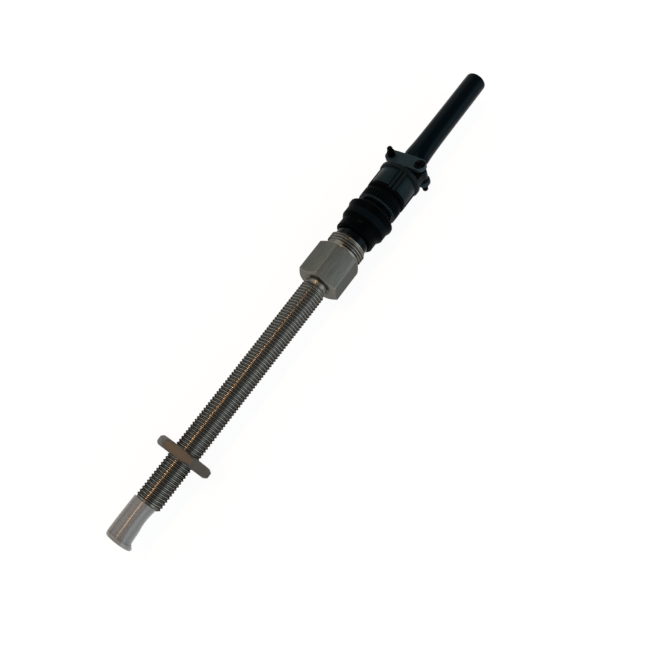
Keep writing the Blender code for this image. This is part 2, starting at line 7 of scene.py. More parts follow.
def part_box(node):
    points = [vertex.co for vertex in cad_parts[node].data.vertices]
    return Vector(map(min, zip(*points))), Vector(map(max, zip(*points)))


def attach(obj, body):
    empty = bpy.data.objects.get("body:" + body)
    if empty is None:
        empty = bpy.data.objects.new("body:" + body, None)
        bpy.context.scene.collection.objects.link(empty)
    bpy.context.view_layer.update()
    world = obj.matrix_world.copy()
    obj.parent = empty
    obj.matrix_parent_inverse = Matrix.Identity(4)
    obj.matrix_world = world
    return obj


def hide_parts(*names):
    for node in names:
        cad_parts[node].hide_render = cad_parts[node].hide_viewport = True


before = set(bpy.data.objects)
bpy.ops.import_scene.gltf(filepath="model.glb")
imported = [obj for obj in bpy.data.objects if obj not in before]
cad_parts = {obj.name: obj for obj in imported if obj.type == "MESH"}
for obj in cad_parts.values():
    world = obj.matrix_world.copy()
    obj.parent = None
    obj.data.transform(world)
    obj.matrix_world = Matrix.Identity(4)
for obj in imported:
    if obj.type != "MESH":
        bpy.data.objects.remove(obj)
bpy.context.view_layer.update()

# The probe's axis lies along X, at the height of the coupling ring's middle. The photograph looks down on it
# from above the lock nut and a little from the right, so that the cable end runs away from the camera.
ring_low, ring_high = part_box("coupling_ring")
axis_height = (ring_low[2] + ring_high[2]) / 2
nut_low, nut_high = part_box("lock_nut")
frame_pixels = 645
focal_pixels = 699.4
axis_beside_middle_pixels = 27.0
camera_distance = 0.3071
foot_behind_nut_face = 0.0006
view_roll = math.radians(14.9)
view_along = math.radians(15.57)
axis_slope = math.radians(52.12)
sensor_width = 36
nearest_seen = 0.01

along = Vector((1, 0, 0))
toward = Vector((0, -math.sin(view_roll), math.cos(view_roll)))
across = along.cross(toward)
foot = Vector((nut_low[0] + foot_behind_nut_face, 0, axis_height))
aside = math.atan(axis_beside_middle_pixels / focal_pixels)
straight = math.sin(view_along) * along - math.cos(view_along) * toward
image_along = math.cos(view_along) * along + math.sin(view_along) * toward
looking = math.cos(aside) * straight + math.sin(aside) * across
image_across = math.cos(aside) * across - math.sin(aside) * straight
image_right = math.cos(axis_slope) * image_along + math.sin(axis_slope) * image_across
image_up = math.sin(axis_slope) * image_along - math.cos(axis_slope) * image_across

bpy.ops.object.select_all(action="DESELECT")
bpy.ops.object.camera_add()
camera = bpy.context.object
camera.name = "photograph_camera"
turn = Matrix((image_right, image_up, -looking)).transposed()
camera.matrix_world = Matrix.Translation(foot + camera_distance * toward) @ turn.to_4x4()
camera.data.sensor_width = sensor_width
camera.data.lens = sensor_width * focal_pixels / frame_pixels
camera.data.clip_start = nearest_seen
bpy.context.scene.camera = camera
bpy.context.scene.view_settings.view_transform = "Standard"

# The floor is a white sheet that the probe lies on. It is lit evenly white, as in the photograph, with the
# probe's soft shadow on it, and the metal mirrors it as white as it is seen.
floor_size = 3
floor_gap = 0.0002
paper_colour = (0.8, 0.8, 0.8)
paper_roughness = 0.9
white_level = 1.05
white_share = 0.87
bpy.ops.mesh.primitive_plane_add(size=floor_size, location=(0, 0, -floor_gap))
floor = bpy.context.object
floor.name = "white_floor"
paper = bpy.data.materials.new("white_paper")
paper.use_nodes = True
nodes, links = paper.node_tree.nodes, paper.node_tree.links
nodes["Principled BSDF"].inputs["Base Color"].default_value = (*paper_colour, 1)
nodes["Principled BSDF"].inputs["Roughness"].default_value = paper_roughness
glow = nodes.new("ShaderNodeEmission")
glow.inputs["Strength"].default_value = white_level
path = nodes.new("ShaderNodeLightPath")
mirrored = nodes.new("ShaderNodeMath")
mirrored.operation = "MAXIMUM"
seen = nodes.new("ShaderNodeMath")
seen.operation = "MAXIMUM"
share = nodes.new("ShaderNodeMath")
share.operation = "MULTIPLY"
share.inputs[1].default_value = white_share
mixed = nodes.new("ShaderNodeMixShader")
links.new(path.outputs["Is Glossy Ray"], mirrored.inputs[0])
links.new(path.outputs["Is Transmission Ray"], mirrored.inputs[1])
links.new(path.outputs["Is Camera Ray"], seen.inputs[0])
links.new(mirrored.outputs["Value"], seen.inputs[1])
links.new(seen.outputs["Value"], share.inputs[0])
links.new(share.outputs[0], mixed.inputs["Fac"])
links.new(nodes["Principled BSDF"].outputs["BSDF"], mixed.inputs[1])
links.new(glow.outputs["Emission"], mixed.inputs[2])
links.new(mixed.outputs["Shader"], nodes["Material Output"].inputs["Surface"])
floor.data.materials.append(paper)

# Two wide soft lights stand low on either side, as windows would, and a long narrow warm lamp hangs nearly
# overhead. The room between them is darker, so that round metal shows light and dark bands along its length.
room_colour = (0.96, 0.96, 0.94)
room_level = 0.5
world = bpy.data.worlds.new("room")
bpy.context.scene.world = world
world.use_nodes = True
world.node_tree.nodes["Background"].inputs["Color"].default_value = (*room_colour, 1)
world.node_tree.nodes["Background"].inputs["Strength"].default_value = room_level


def soft_light(name, lean_degrees, distance, width, length, watts, colour, station=0.0):
    """A long light at a station along the probe, leaning from upright about it, positive to the right."""
    lean = math.radians(lean_degrees)
    place = Vector((station, -math.sin(lean) * distance, math.cos(lean) * distance))
    bpy.ops.object.light_add(type="AREA", location=place)
    light = bpy.context.object
    light.name = name
    light.data.shape = "RECTANGLE"
    light.data.size = length
    light.data.size_y = width
    light.data.energy = watts
    light.data.color = colour
    light.rotation_euler = (lean, 0, 0)


soft_light("right_window", lean_degrees=64, distance=0.8, width=0.6, length=1.8,
           watts=6.0, colour=(0.80, 0.93, 1.0))
soft_light("left_window", lean_degrees=-55, distance=0.8, width=0.5, length=1.8,
           watts=2.6, colour=(0.95, 0.98, 0.97))
soft_light("warm_lamp", lean_degrees=-19, distance=0.9, width=0.03, length=0.60,
           watts=2.7, colour=(1.0, 0.60, 0.32), station=-0.08)

# The barrel is a turned stainless tube with a rolled M12 thread along nearly all of it. The thread is one
# helix, and a plain core closes the tip's chamfer below it, the neck behind it and the hole in the hex.
barrel_low, barrel_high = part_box("threaded_barrel")
thread_pitch = 0.0015
thread_crest = 0.00622
thread_root = 0.00564
plain_end_length = 0.0094
thread_end = barrel_high[0] - plain_end_length
thread_early = 0.0007
thread_begin = barrel_low[0] - thread_early
thread_steps = 40
thread_run_out = 0.75
thread_root_shade = 0.62
tip_chamfer = 0.0013
tip_radius = 0.0046
nose_bore = 0.00305
neck_radius = 0.00535
relief_radius = 0.00500
relief_start = 0.0004
relief_end = 0.0008
neck_start = 0.0010
core_sink = 0.00005
core_bevel = 0.0007
shoulder_sink = 0.0002
shoulder_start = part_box("hex_housing")[0][0] + shoulder_sink
shoulder_radius = 0.0066
weld = 0.000002
thread_smooth = math.radians(25)
grain_detail = 6
tone_from, tone_to = 0.3, 0.7
smoothest, roughest = 0.8, 1.25
relief_distance = 0.0001


def only(piece):
    """Makes one piece the selected and active object."""
    bpy.ops.object.select_all(action="DESELECT")
    piece.select_set(True)
    bpy.context.view_layer.objects.active = piece


def drawn(name, points):
    """A line of edges through the points, drawn from one vertex by extruding."""
    bpy.ops.object.select_all(action="DESELECT")
    bpy.ops.mesh.primitive_plane_add(size=0.001, location=points[0])
    line = bpy.context.object
    line.name = name
    bpy.ops.object.transform_apply(location=True, rotation=True, scale=True)
    bpy.ops.object.mode_set(mode="EDIT")
    bpy.ops.mesh.select_mode(type="VERT")
    bpy.ops.mesh.select_all(action="SELECT")
    bpy.ops.mesh.merge(type="CENTER")
    for start, end in zip(points, points[1:]):
        step = Vector(end) - Vector(start)
        bpy.ops.mesh.extrude_vertices_move(TRANSFORM_OT_translate={"value": step})
    bpy.ops.object.mode_set(mode="OBJECT")
    return line


def closed_up(piece):
    """Welds a new mesh, fills the holes that are left in it and turns its faces outwards."""
    only(piece)
    bpy.ops.object.mode_set(mode="EDIT")
    bpy.ops.mesh.select_all(action="SELECT")
    bpy.ops.mesh.remove_doubles(threshold=weld)
    bpy.ops.mesh.fill_holes(sides=0)
    bpy.ops.mesh.normals_make_consistent(inside=False)
    bpy.ops.object.mode_set(mode="OBJECT")


def turned(name, profile, steps=96, angle=math.tau):
    """A piece turned about the probe axis from a profile of (x, radius), wholly or through part of a turn."""
    piece = drawn(name, [(x, 0, axis_height + radius) for x, radius in profile])
    bpy.ops.object.mode_set(mode="EDIT")
    bpy.ops.mesh.select_all(action="SELECT")
    bpy.ops.mesh.spin(steps=steps, angle=angle, center=(0, 0, axis_height), axis=(1, 0, 0))
    bpy.ops.object.mode_set(mode="OBJECT")
    closed_up(piece)
    return piece


def threaded(name, start, end, pitch, crest, root, steps):
    """A helical ridge about the X axis through the origin, from start to end."""
    profile = ((0, root), (0.07, root), (0.43, crest), (0.57, crest), (0.93, root), (1, root))
    line = drawn(name, [(start + part * pitch, 0, radius) for part, radius in profile])
    helix = line.modifiers.new("helix", "SCREW")
    helix.axis = "X"
    helix.steps = steps
    helix.render_steps = steps
    helix.screw_offset = pitch
    helix.iterations = max(1, round((end - start) / pitch) - 1)
    only(line)
    bpy.ops.object.modifier_apply(modifier=helix.name)
    closed_up(line)
    bpy.ops.object.shade_smooth_by_angle(angle=thread_smooth)
    return line


def trimmed(piece, radius_at):
    """Presses a thread down to the largest radius that radius_at allows at each place along it."""
    for vertex in piece.data.vertices:
        radius = math.hypot(vertex.co.y, vertex.co.z)
        allowed = min(radius, radius_at(vertex.co.x))
        vertex.co.y *= allowed / radius
        vertex.co.z *= allowed / radius


def stood_at(piece, matrix):
    """Moves a piece modelled at the origin to its place and leaves the object itself at the origin."""
    only(piece)
    piece.matrix_world = matrix
    bpy.ops.object.transform_apply(location=True, rotation=True, scale=True)


def break_edges(piece, width, angle=32):
    """Rounds the sharp edges of a piece and shades its round faces smooth."""
    only(piece)
    bevel = piece.modifiers.new("broken_edges", "BEVEL")
    bevel.width = width
    bevel.segments = 2
    bevel.limit_method = "ANGLE"
    bevel.angle_limit = math.radians(angle)
    bpy.ops.object.modifier_apply(modifier=bevel.name)
    bpy.ops.object.shade_smooth_by_angle(angle=math.radians(angle))


def fitted(piece, body, slot, material, *nodes):
    """Gives a finished piece its material and its body, and hides the CAD nodes that it stands for."""
    piece.data.materials.clear()
    piece.data.materials.append(material)
    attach(piece, body)
    if nodes:
        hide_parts(*nodes)


def finish(name, light, dark, roughness, metallic, grain, bump,
           specular=0.5, tint=(1, 1, 1), stretch=(1, 1, 1)):
    """A material with two tones in a fine grain, uneven roughness and a low relief, all in object space."""
    made = bpy.data.materials.new(name)
    made.use_nodes = True
    nodes, links = made.node_tree.nodes, made.node_tree.links
    shader = nodes["Principled BSDF"]
    shader.inputs["Metallic"].default_value = metallic
    shader.inputs["Specular IOR Level"].default_value = specular
    shader.inputs["Specular Tint"].default_value = (*tint, 1)
    place = nodes.new("ShaderNodeTexCoord")
    drawn_out = nodes.new("ShaderNodeMapping")
    drawn_out.inputs["Scale"].default_value = stretch
    noise = nodes.new("ShaderNodeTexNoise")
    noise.inputs["Scale"].default_value = grain
    noise.inputs["Detail"].default_value = grain_detail
    tones = nodes.new("ShaderNodeValToRGB")
    tones.name = "tones"
    tones.color_ramp.elements[0].position = tone_from
    tones.color_ramp.elements[0].color = (*dark, 1)
    tones.color_ramp.elements[1].position = tone_to
    tones.color_ramp.elements[1].color = (*light, 1)
    rough = nodes.new("ShaderNodeMapRange")
    rough.inputs["To Min"].default_value = roughness * smoothest
    rough.inputs["To Max"].default_value = roughness * roughest
    relief = nodes.new("ShaderNodeBump")
    relief.inputs["Strength"].default_value = bump
    relief.inputs["Distance"].default_value = relief_distance
    links.new(place.outputs["Object"], drawn_out.inputs["Vector"])
    links.new(drawn_out.outputs["Vector"], noise.inputs["Vector"])
    links.new(noise.outputs["Fac"], tones.inputs["Fac"])
    links.new(tones.outputs["Color"], shader.inputs["Base Color"])
    links.new(noise.outputs["Fac"], rough.inputs["Value"])
    links.new(rough.outputs["Result"], shader.inputs["Roughness"])
    links.new(noise.outputs["Fac"], relief.inputs["Height"])
    links.new(relief.outputs["Normal"], shader.inputs["Normal"])
    return made


def painted_recess_shade(material, inner, outer, shade):
    """Darkens a material towards the probe axis: painted shade in the bottom of a thread or groove."""
    nodes, links = material.node_tree.nodes, material.node_tree.links
    place = nodes.new("ShaderNodeTexCoord")
    shift = nodes.new("ShaderNodeVectorMath")
    shift.operation = "SUBTRACT"
    shift.inputs[1].default_value = (0, 0, axis_height)
    flat = nodes.new("ShaderNodeVectorMath")
    flat.operation = "MULTIPLY"
    flat.inputs[1].default_value = (0, 1, 1)
    reach = nodes.new("ShaderNodeVectorMath")
    reach.operation = "LENGTH"
    level = nodes.new("ShaderNodeMapRange")
    level.inputs["From Min"].default_value = inner
    level.inputs["From Max"].default_value = outer
    level.inputs["To Min"].default_value = shade
    level.inputs["To Max"].default_value = 1
    darker = nodes.new("ShaderNodeMix")
    darker.data_type = "RGBA"
    darker.blend_type = "MULTIPLY"
    darker.inputs["Factor"].default_value = 1
    links.new(place.outputs["Object"], shift.inputs[0])
    links.new(shift.outputs["Vector"], flat.inputs[0])
    links.new(flat.outputs["Vector"], reach.inputs[0])
    links.new(reach.outputs["Value"], level.inputs["Value"])
    links.new(nodes["tones"].outputs["Color"], darker.inputs["A"])
    links.new(level.outputs["Result"], darker.inputs["B"])
    links.new(darker.outputs["Result"], nodes["Principled BSDF"].inputs["Base Color"])


steel_edge = (0.18, 0.18, 0.18)
flat_edge = (0.5, 0.5, 0.5)
thread_steel = finish(
    "rolled_thread", (0.198, 0.193, 0.175), (0.152, 0.148, 0.134),
    roughness=0.24, metallic=1.0, grain=900, bump=0.05, tint=steel_edge,
)
# The thread's roots are painted darker than its crests: painted shade.
painted_recess_shade(thread_steel, thread_root, thread_crest, thread_root_shade)
turned_steel = finish(
    "turned_stainless", (0.190, 0.182, 0.160), (0.150, 0.143, 0.124),
    roughness=0.34, metallic=1.0, grain=600, bump=0.06, tint=flat_edge, stretch=(6, 1, 1),
)
thread = threaded("barrel_thread", thread_begin, thread_end, thread_pitch,
                  thread_crest, thread_root, thread_steps)
chamfer_rise = (thread_crest - tip_radius) / tip_chamfer
trimmed(thread, lambda x: max(tip_radius, tip_radius + (x - thread_begin) * chamfer_rise))
trimmed(thread, lambda x: max(thread_root, thread_root + (thread_end - x) * thread_run_out))
stood_at(thread, Matrix.Translation((0, 0, axis_height)))
fitted(thread, "probe", "steel", thread_steel, "threaded_barrel")

core_radius = thread_root - core_sink
core = turned(
    "barrel_core",
    [
        (thread_begin, nose_bore),
        (thread_begin, tip_radius - core_sink),
        (thread_begin + core_bevel, core_radius),
        (thread_end, core_radius),
        (thread_end + relief_start, relief_radius),
        (thread_end + relief_end, relief_radius),
        (thread_end + neck_start, neck_radius),
        (shoulder_start, neck_radius),
        (shoulder_start, shoulder_radius),
        (barrel_high[0], shoulder_radius),
        (barrel_high[0], nose_bore),
        (thread_begin, nose_bore),
    ],
)
break_edges(core, width=0.00008)
fitted(core, "probe", "steel", turned_steel, "threaded_barrel")

# What the barrel holds: a thin steel nose with the Hall element and its magnet behind it, a narrow board, and
# three leads to the connector. They keep their shapes and are steel, moulded plastic and wire insulation.


def coated(material, *names):
    """Gives CAD nodes that keep their shape a better material."""
    for name in names:
        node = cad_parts[name]
        node.data.materials.clear()
        node.data.materials.append(material)


moulded = finish(
    "dark_moulding", (0.050, 0.058, 0.050), (0.036, 0.042, 0.036),
    roughness=0.5, metallic=0.0, grain=800, bump=0.08,
)
insulation = finish(
    "wire_insulation", (0.030, 0.030, 0.034), (0.020, 0.020, 0.023),
    roughness=0.55, metallic=0.0, grain=700, bump=0.08,
)
coated(turned_steel, "sensing_nose", "bias_magnet")
coated(moulded, "hall_element", "sensor_board")
coated(insulation, "lead_wire_1", "lead_wire_2", "lead_wire_3")

# The lock nut is a thin hex nut, stamped from stainless sheet, with its corners turned off on both faces. It
# runs on the barrel's thread and locks the probe in its hole.
nut_thicker = 1.05
nut_face_radius = 0.0119
nut_corner = 0.0141
nut_clear = 0.0002
nut_slope = math.tan(math.radians(30))
flat_within = math.radians(0.6)


def welded_copy(node, name):
    """A copy of a CAD node with its triangles welded into whole faces."""
    piece = bpy.data.objects.new(name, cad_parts[node].data.copy())
    bpy.context.scene.collection.objects.link(piece)
    only(piece)
    bpy.ops.object.mode_set(mode="EDIT")
    bpy.ops.mesh.select_all(action="SELECT")
    bpy.ops.mesh.remove_doubles(threshold=weld)
    bpy.ops.mesh.dissolve_limited(angle_limit=flat_within)
    bpy.ops.object.mode_set(mode="OBJECT")
    return piece


def cut_away(piece, cutter, operation="DIFFERENCE"):
    """Cuts one piece with another and throws the cutter away."""
    only(piece)
    cut = piece.modifiers.new("cut", "BOOLEAN")
    cut.operation = operation
    cut.object = cutter
    bpy.ops.object.modifier_apply(modifier=cut.name)
    bpy.data.objects.remove(cutter)


nut_steel = finish(
    "stamped_stainless", (0.090, 0.081, 0.069), (0.067, 0.060, 0.051),
    roughness=0.52, metallic=1.0, grain=420, bump=0.08,
)
nut_middle = (nut_low[0] + nut_high[0]) / 2
nut_half = (nut_high[0] - nut_low[0]) / 2 * nut_thicker
nut = welded_copy("lock_nut", "lock_nut_ground")
stood_at(nut, Matrix.Translation((nut_middle, 0, 0)) @ Matrix.Diagonal((nut_thicker, 1, 1, 1))
         @ Matrix.Translation((-nut_middle, 0, 0)))
waist = nut_half - (nut_corner - nut_face_radius) * nut_slope
past = nut_half + nut_clear
blank = turned(
    "nut_blank",
    [
        (nut_middle - past, nut_clear),
        (nut_middle - past, nut_face_radius - nut_clear / nut_slope),
        (nut_middle - waist, nut_corner),
        (nut_middle + waist, nut_corner),
        (nut_middle + past, nut_face_radius - nut_clear / nut_slope),
        (nut_middle + past, nut_clear),
        (nut_middle - past, nut_clear),
    ],
)
cut_away(nut, blank, "INTERSECT")
break_edges(nut, width=0.0002)
fitted(nut, "nut", "steel", nut_steel, "lock_nut")

# The hex housing is milled from the same steel, with its flats ground along the axis and its corners turned
# off at both ends. Above it stands a collar with a plain groove and a short fine thread, in which the
# receptacle sits.
hex_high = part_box("hex_housing")[1]
hex_wider = 1.015
hex_end_tilt = 0.15
collar_length = 0.0067
collar_start = hex_high[0] - collar_length
collar_sink = 0.00002
collar_crest = 0.0095
collar_root = 0.0089
collar_groove = 0.0090
collar_groove_length = 0.0013
collar_chamfer = 0.0005
collar_taper = 0.0002
collar_lip = 0.0001
collar_bore = 0.0087
collar_bore_depth = 0.0030
collar_core_sink = 0.00003
collar_pitch = 0.00145
collar_steps = 96
collar_root_shade = 0.4
thread_start = collar_start + collar_groove_length
ground_steel = finish(
    "ground_stainless", (0.130, 0.131, 0.117), (0.103, 0.104, 0.093),
    roughness=0.42, metallic=1.0, grain=500, bump=0.06, tint=flat_edge, stretch=(0.3, 2, 2),
)
housing = welded_copy("hex_housing", "hex_housing_milled")
bpy.ops.object.mode_set(mode="EDIT")
bpy.ops.mesh.select_all(action="SELECT")
bpy.ops.mesh.bisect(
    plane_co=(collar_start + collar_sink, 0, axis_height),
    plane_no=(1, 0, 0),
    use_fill=True,
    clear_outer=True,
)
bpy.ops.object.mode_set(mode="OBJECT")
break_edges(housing, width=0.00022)
stood_at(housing, Matrix.Translation((0, 0, axis_height)) @ Matrix.Diagonal((1, hex_wider, hex_wider, 1))
         @ Matrix.Translation((0, 0, -axis_height)))
fitted(housing, "probe", "steel", ground_steel, "hex_housing")
housing.data.materials.append(turned_steel)
for face in housing.data.polygons:
    face.material_index = 1 if abs(face.normal.x) > hex_end_tilt else 0

collar = turned(
    "collar_core",
    [
        (collar_start, neck_radius),
        (collar_start, collar_groove),
        (thread_start, collar_groove),
        (thread_start + collar_taper, collar_root - collar_core_sink),
        (hex_high[0] - collar_chamfer, collar_root - collar_core_sink),
        (hex_high[0], collar_bore + collar_lip),
        (hex_high[0], collar_bore),
        (hex_high[0] - collar_bore_depth, collar_bore),
        (hex_high[0] - collar_bore_depth, neck_radius),
        (collar_start, neck_radius),
    ],
)
break_edges(collar, width=0.00008)
fitted(collar, "probe", "steel", turned_steel, "hex_housing")
collar_steel = finish(
    "cut_thread", (0.215, 0.207, 0.186), (0.168, 0.162, 0.145),
    roughness=0.24, metallic=1.0, grain=900, bump=0.05, tint=steel_edge,
)
# The collar thread's roots are painted darker than its crests: painted shade.
painted_recess_shade(collar_steel, collar_root, collar_crest, collar_root_shade)
collar_thread = threaded("collar_thread", thread_start, hex_high[0], collar_pitch,
                         collar_crest, collar_root, collar_steps)
trimmed(collar_thread, lambda x: max(collar_root, collar_crest - max(0.0, x - hex_high[0] + collar_chamfer)))
stood_at(collar_thread, Matrix.Translation((0, 0, axis_height)))
fitted(collar_thread, "probe", "steel", collar_steel, "hex_housing")

# The receptacle shell and the plug shell are black anodised tubes, one inside the other. Only a short glossy
# band of the receptacle shows between the collar and the coupling ring. The inserts, contacts and seals
# inside keep their shapes.
cool_sheen = (0.60, 0.88, 1.0)
highlight_from, highlight_to = 0.55, 0.95
highlight_samples = 6
black_anodised = finish(
    "black_anodised", (0.0002, 0.0004, 0.0005), (0.0001, 0.0003, 0.0004),
    roughness=0.20, metallic=0.0, grain=1500, bump=0.03, specular=0.07, tint=cool_sheen,
)
matt_black = finish(
    "matt_black", (0.0003, 0.0005, 0.0006), (0.0002, 0.0004, 0.0005),
    roughness=0.42, metallic=0.0, grain=1500, bump=0.04, specular=0.015, tint=cool_sheen,
)


def edge_lit(material, reach, tone):
    """Lightens a material along its outer edges: a painted highlight where the edges catch the light."""
    nodes, links = material.node_tree.nodes, material.node_tree.links
    base = nodes["Principled BSDF"].inputs["Base Color"]
    under = base.links[0].from_socket
    inside = nodes.new("ShaderNodeAmbientOcclusion")
    inside.inside = True
    inside.only_local = True
    inside.samples = highlight_samples
    inside.inputs["Distance"].default_value = reach
    edge = nodes.new("ShaderNodeMapRange")
    edge.inputs["From Min"].default_value = highlight_from
    edge.inputs["From Max"].default_value = highlight_to
    edge.inputs["To Min"].default_value = 1
    edge.inputs["To Max"].default_value = 0
    edge_highlight = nodes.new("ShaderNodeMix")
    edge_highlight.data_type = "RGBA"
    edge_highlight.inputs["B"].default_value = (*tone, 1)
    links.new(inside.outputs["AO"], edge.inputs["Value"])
    links.new(edge.outputs["Result"], edge_highlight.inputs["Factor"])
    links.new(under, edge_highlight.inputs["A"])
    links.new(edge_highlight.outputs["Result"], base)


# The plug shell and the coupling ring get a painted highlight along their edges.
edge_lit(matt_black, reach=0.0004, tone=(0.004, 0.006, 0.007))
# A lighter black for rims: a painted highlight where a rim catches the light.
rim_highlight_black = finish(
    "painted_rim_highlight", (0.0190, 0.0310, 0.0370), (0.0130, 0.0215, 0.0260),
    roughness=0.36, metallic=0.0, grain=1500, bump=0.04, specular=0.05, tint=cool_sheen,
)
for node, body, black in (
    ("receptacle_shell", "probe", black_anodised),
    ("plug_shell", "plug", matt_black),
):
    shell = welded_copy(node, f"{node}_black")
    break_edges(shell, width=0.00012)
    fitted(shell, body, "black_shell", black, node)
contact_gold = finish(
    "plated_contact", (0.80, 0.58, 0.24), (0.66, 0.46, 0.18),
    roughness=0.28, metallic=1.0, grain=900, bump=0.04,
)
coated(moulded, "receptacle_insert", "plug_insert")
coated(insulation, "receptacle_gasket", "interface_seal", "wire_grommet")
for number in (1, 2, 3):
    coated(contact_gold, f"contact_pin_{number}", f"socket_contact_{number}")

# The coupling ring is turned from bar and anodised black, with a plain front band, a finely knurled grip and
# a raised flange behind it. Its three bayonet pins, the waved spring and the retaining ring are steel.
rim_width = 0.0006
ring = welded_copy("coupling_ring", "coupling_ring_black")
break_edges(ring, width=0.00025)
fitted(ring, "ring", "black_shell", matt_black, "coupling_ring")
# The back of the coupling ring, one rim width deep, takes the painted rim highlight.
ring.data.materials.append(rim_highlight_black)
for face in ring.data.polygons:
    face.material_index = 1 if face.center.x > ring_high[0] - rim_width else 0
coated(turned_steel, "bayonet_pin_1", "bayonet_pin_2", "bayonet_pin_3", "wave_spring", "retaining_ring")

plain_band = 0.0070
knurl_start = ring_low[0] + plain_band
knurl_rows = 4
knurl_teeth = 84
knurl_pitch = 0.00100
knurl_radius = 0.01112
knurl_height = 0.00022
knurl_gap = 0.3
knurl_gap_shade = 0.0
bpy.ops.object.select_all(action="DESELECT")
bpy.ops.mesh.primitive_circle_add(
    vertices=knurl_teeth * 2,
    radius=knurl_radius,
    location=(knurl_start, 0, axis_height),
    rotation=(0, math.pi / 2, 0),
)
knurl = bpy.context.object
knurl.name = "knurled_grip"
bpy.ops.object.transform_apply(location=True, rotation=True, scale=True)
bpy.ops.object.mode_set(mode="EDIT")
bpy.ops.mesh.select_all(action="SELECT")
for row in range(2 * knurl_rows + 1):
    step = knurl_pitch * (knurl_gap if row % 2 == 0 else 1 - knurl_gap)
    bpy.ops.mesh.extrude_edges_move(TRANSFORM_OT_translate={"value": (step, 0, 0)})
bpy.ops.mesh.select_all(action="SELECT")
bpy.ops.mesh.normals_make_consistent(inside=False)
bpy.ops.mesh.select_all(action="DESELECT")
bpy.ops.object.mode_set(mode="OBJECT")
for face in knurl.data.polygons:
    sector = math.atan2(face.center.y, face.center.z - axis_height) / math.tau * knurl_teeth * 2
    row = (face.center.x - knurl_start) / knurl_pitch
    face.select = math.floor(sector) % 2 == 0 and row % 1.0 > knurl_gap
bpy.ops.object.mode_set(mode="EDIT")
bpy.ops.mesh.select_mode(type="FACE")
bpy.ops.mesh.extrude_faces_move(TRANSFORM_OT_shrink_fatten={"value": knurl_height})
bpy.ops.object.mode_set(mode="OBJECT")
knurl_black = finish(
    "knurled_black", (0.0024, 0.0045, 0.0060), (0.0016, 0.0030, 0.0040),
    roughness=0.42, metallic=0.0, grain=1500, bump=0.03, specular=0.01, tint=cool_sheen,
)
# The floor between the knurl's teeth is painted black: painted shade.
painted_recess_shade(knurl_black, knurl_radius, knurl_radius + knurl_height, knurl_gap_shade)
fitted(knurl, "ring", "black_shell", knurl_black)

# The back nut is a fluted black ring that locks the clamp onto the plug. Its flutes are milled, and its plain
# front rim carries a painted highlight, a little lighter than the rest.
nut_stands_back = 0.0009
flute_floor = 0.0097
flute_crest = 0.0102
flute_floor_shade = 0.04
nut_rim_depth = 0.0005
nut_rim_tilt = 0.5
back_nut = welded_copy("back_nut", "back_nut_fluted")
break_edges(back_nut, width=0.00008)
stood_at(back_nut, Matrix.Translation((nut_stands_back, 0, 0)))
flute_black = finish(
    "fluted_black", (0.0009, 0.0016, 0.0019), (0.0006, 0.0011, 0.0013),
    roughness=0.36, metallic=0.0, grain=1300, bump=0.04, specular=0.012, tint=cool_sheen,
)
# The flute floors are painted darker: painted shade. Their edges get a painted highlight.
painted_recess_shade(flute_black, flute_floor, flute_crest, flute_floor_shade)
edge_lit(flute_black, reach=0.0003, tone=(0.0045, 0.0075, 0.009))
fitted(back_nut, "plug", "black_shell", flute_black, "back_nut")
# The back nut's front-facing rim takes the painted rim highlight.
back_nut.data.materials.append(rim_highlight_black)
nut_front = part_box("back_nut")[0][0] + nut_stands_back
for face in back_nut.data.polygons:
    at_front = face.center.x < nut_front + nut_rim_depth
    face.material_index = 1 if at_front and face.normal.x < -nut_rim_tilt else 0

# The clamp body is a moulded black sleeve with four double ribs, a raised pad between each pair and two lugs
# behind. It screws onto the plug's back end.
clamp_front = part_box("clamp_body")[0][0]
front_groove = 0.0042
pad_length = 0.0095
pad_start = clamp_front + front_groove
pad_end = pad_start + pad_length
pad_floor = 0.0095
pad_radius = 0.01008
rib_turn = math.radians(11.4)
rib_half = math.radians(12)
pad_count = 4
pad_steps = 16
rib_floor = 0.0098
rib_crest = 0.0102
rib_floor_shade = 0.35
moulded_black = finish(
    "moulded_black", (0.0030, 0.0066, 0.0082), (0.0022, 0.0048, 0.0060),
    roughness=0.36, metallic=0.0, grain=1200, bump=0.08, specular=0.10, tint=(0.45, 0.85, 1.0),
)
ribbed_black = finish(
    "ribbed_black", (0.0040, 0.0060, 0.0070), (0.0028, 0.0042, 0.0050),
    roughness=0.38, metallic=0.0, grain=1200, bump=0.08, specular=0.06, tint=cool_sheen,
)
# A near-black that paints shade into the clamp's front groove; the screw inserts are coloured with it too.
groove_shade_and_insert_black = finish(
    "groove_shade_and_insert_black", (0.0008, 0.0012, 0.0014), (0.0005, 0.0008, 0.0010),
    roughness=0.5, metallic=0.0, grain=1200, bump=0.04, specular=0.01,
)
# The clamp body is painted darker below its rib crests: painted shade. Its edges get a painted highlight.
painted_recess_shade(ribbed_black, rib_floor, rib_crest, rib_floor_shade)
edge_lit(ribbed_black, reach=0.0004, tone=(0.011, 0.019, 0.023))
clamp = welded_copy("clamp_body", "clamp_body_moulded")
break_edges(clamp, width=0.0002)
fitted(clamp, "plug", "clamp_grey", ribbed_black, "clamp_body")
